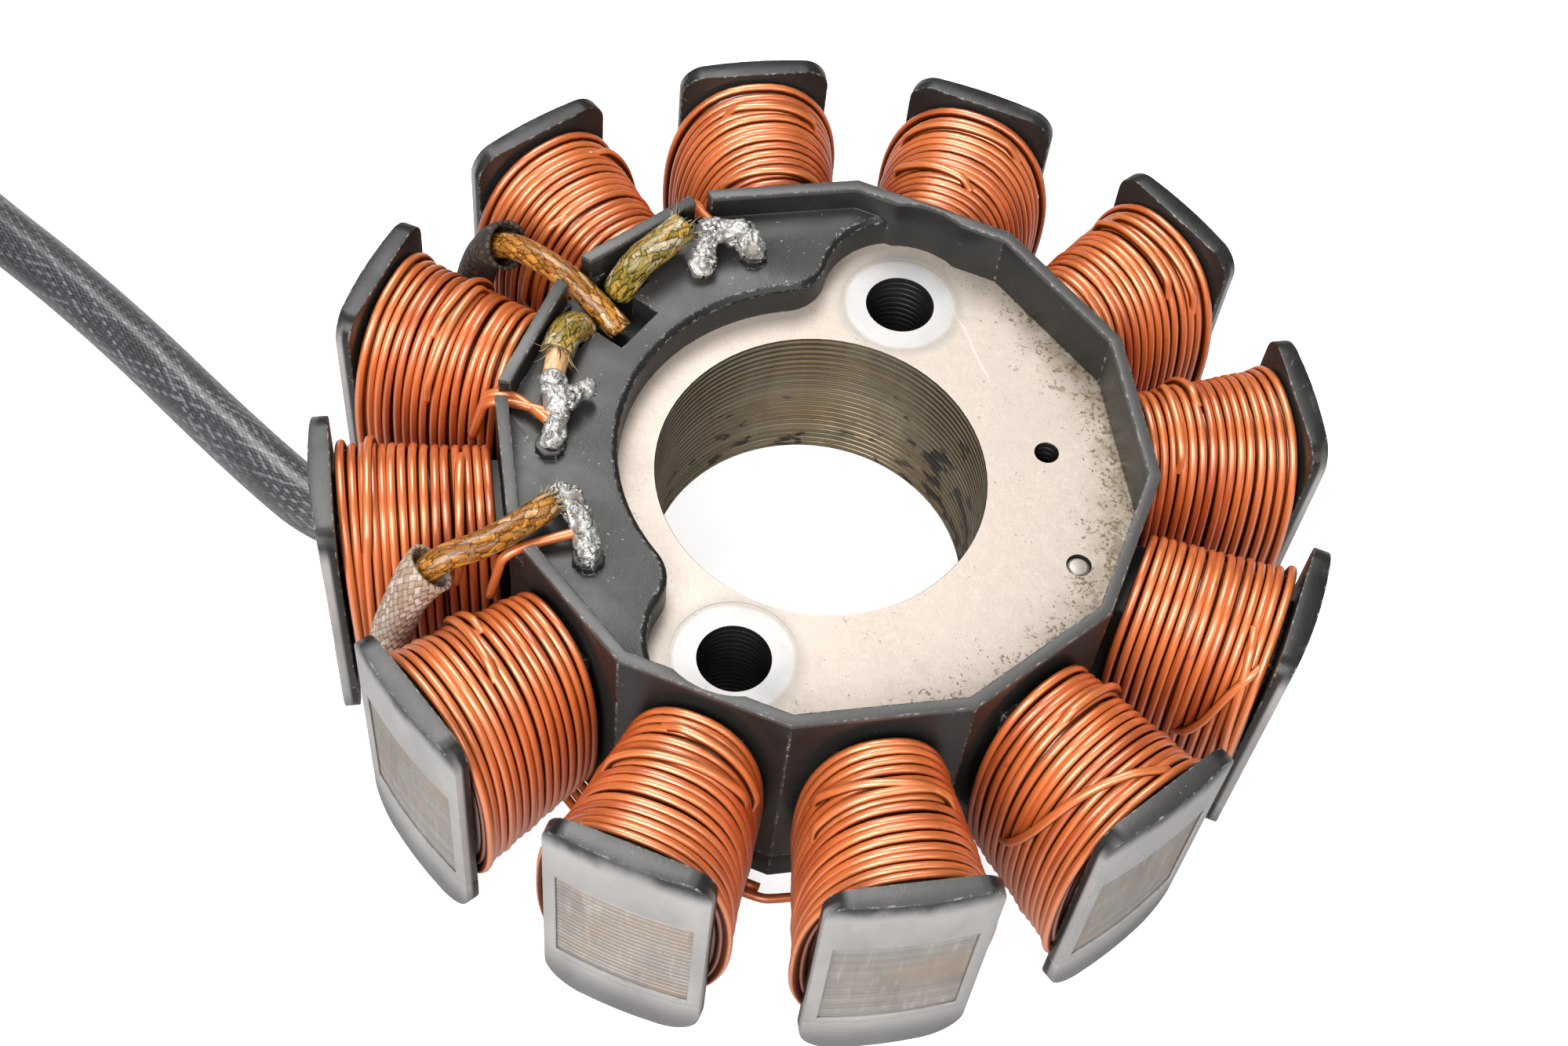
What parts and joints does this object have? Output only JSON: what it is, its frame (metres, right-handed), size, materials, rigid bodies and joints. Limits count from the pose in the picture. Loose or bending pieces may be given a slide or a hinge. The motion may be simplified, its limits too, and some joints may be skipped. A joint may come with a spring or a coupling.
{
  "type": "generator stator",
  "caption": "Wound stator of a small engine's generator: laminated core with coils on outward poles, moulded insulator, soldered leads and output cable.",
  "frame": {"origin": "under the bore's axis, on the surface that the pole heads' lower ends stand on", "axes": "+Z along the bore's axis, from the seat on the engine towards the soldered leads; +X along one pole; the two mounting holes lie on the Y axis"},
  "size_m": [0.2548, 0.1141, 0.0343],
  "materials": {
    "plated_laminations": "satin nickel plate over stacked sheets",
    "steel_pin": "satin",
    "insulator_nylon": "worn satin moulding",
    "enamelled_wire": "glossy enamel over copper",
    "lead_insulation": "satin",
    "glass_sleeving": "braided",
    "varnished_sleeving": "varnished braid",
    "tinned_pin": "satin",
    "solder": "satin lumps",
    "cable_braid": "satin braid",
    "connector_nylon": "satin",
    "boot_rubber": "matte"
  },
  "bodies": {
    "root": {"lamination_stack": "plated_laminations", "stack_pin": "steel_pin", "upper_insulator": "insulator_nylon", "lower_insulator": "insulator_nylon", "coil_01": "enamelled_wire", "coil_02": "enamelled_wire", "coil_03": "enamelled_wire", "coil_04": "enamelled_wire", "coil_05": "enamelled_wire", "coil_06": "enamelled_wire", "coil_07": "enamelled_wire", "coil_08": "enamelled_wire", "coil_09": "enamelled_wire", "coil_10": "enamelled_wire", "coil_11": "enamelled_wire", "coil_12": "enamelled_wire", "crossover_wire_1": "enamelled_wire", "crossover_wire_2": "enamelled_wire", "crossover_wire_3": "enamelled_wire", "coil_tail_1": "enamelled_wire", "coil_tail_2": "enamelled_wire", "coil_tail_3": "enamelled_wire", "lead_tube_1": "lead_insulation", "lead_tube_2": "lead_insulation", "inner_lead": "lead_insulation", "glass_sleeve_1": "glass_sleeving", "glass_sleeve_2": "glass_sleeving", "braid_sleeve_1": "varnished_sleeving", "braid_sleeve_2": "varnished_sleeving", "terminal_pin_1": "tinned_pin", "terminal_pin_2": "tinned_pin", "terminal_pin_3": "tinned_pin", "solder_joint_1": "solder", "solder_joint_2": "solder", "solder_joint_3": "solder", "cable_coil": "cable_braid", "cable": "cable_braid", "cable_end": "cable_braid", "connector": "connector_nylon", "connector_boot": "boot_rubber"}
  },
  "joints": []
}
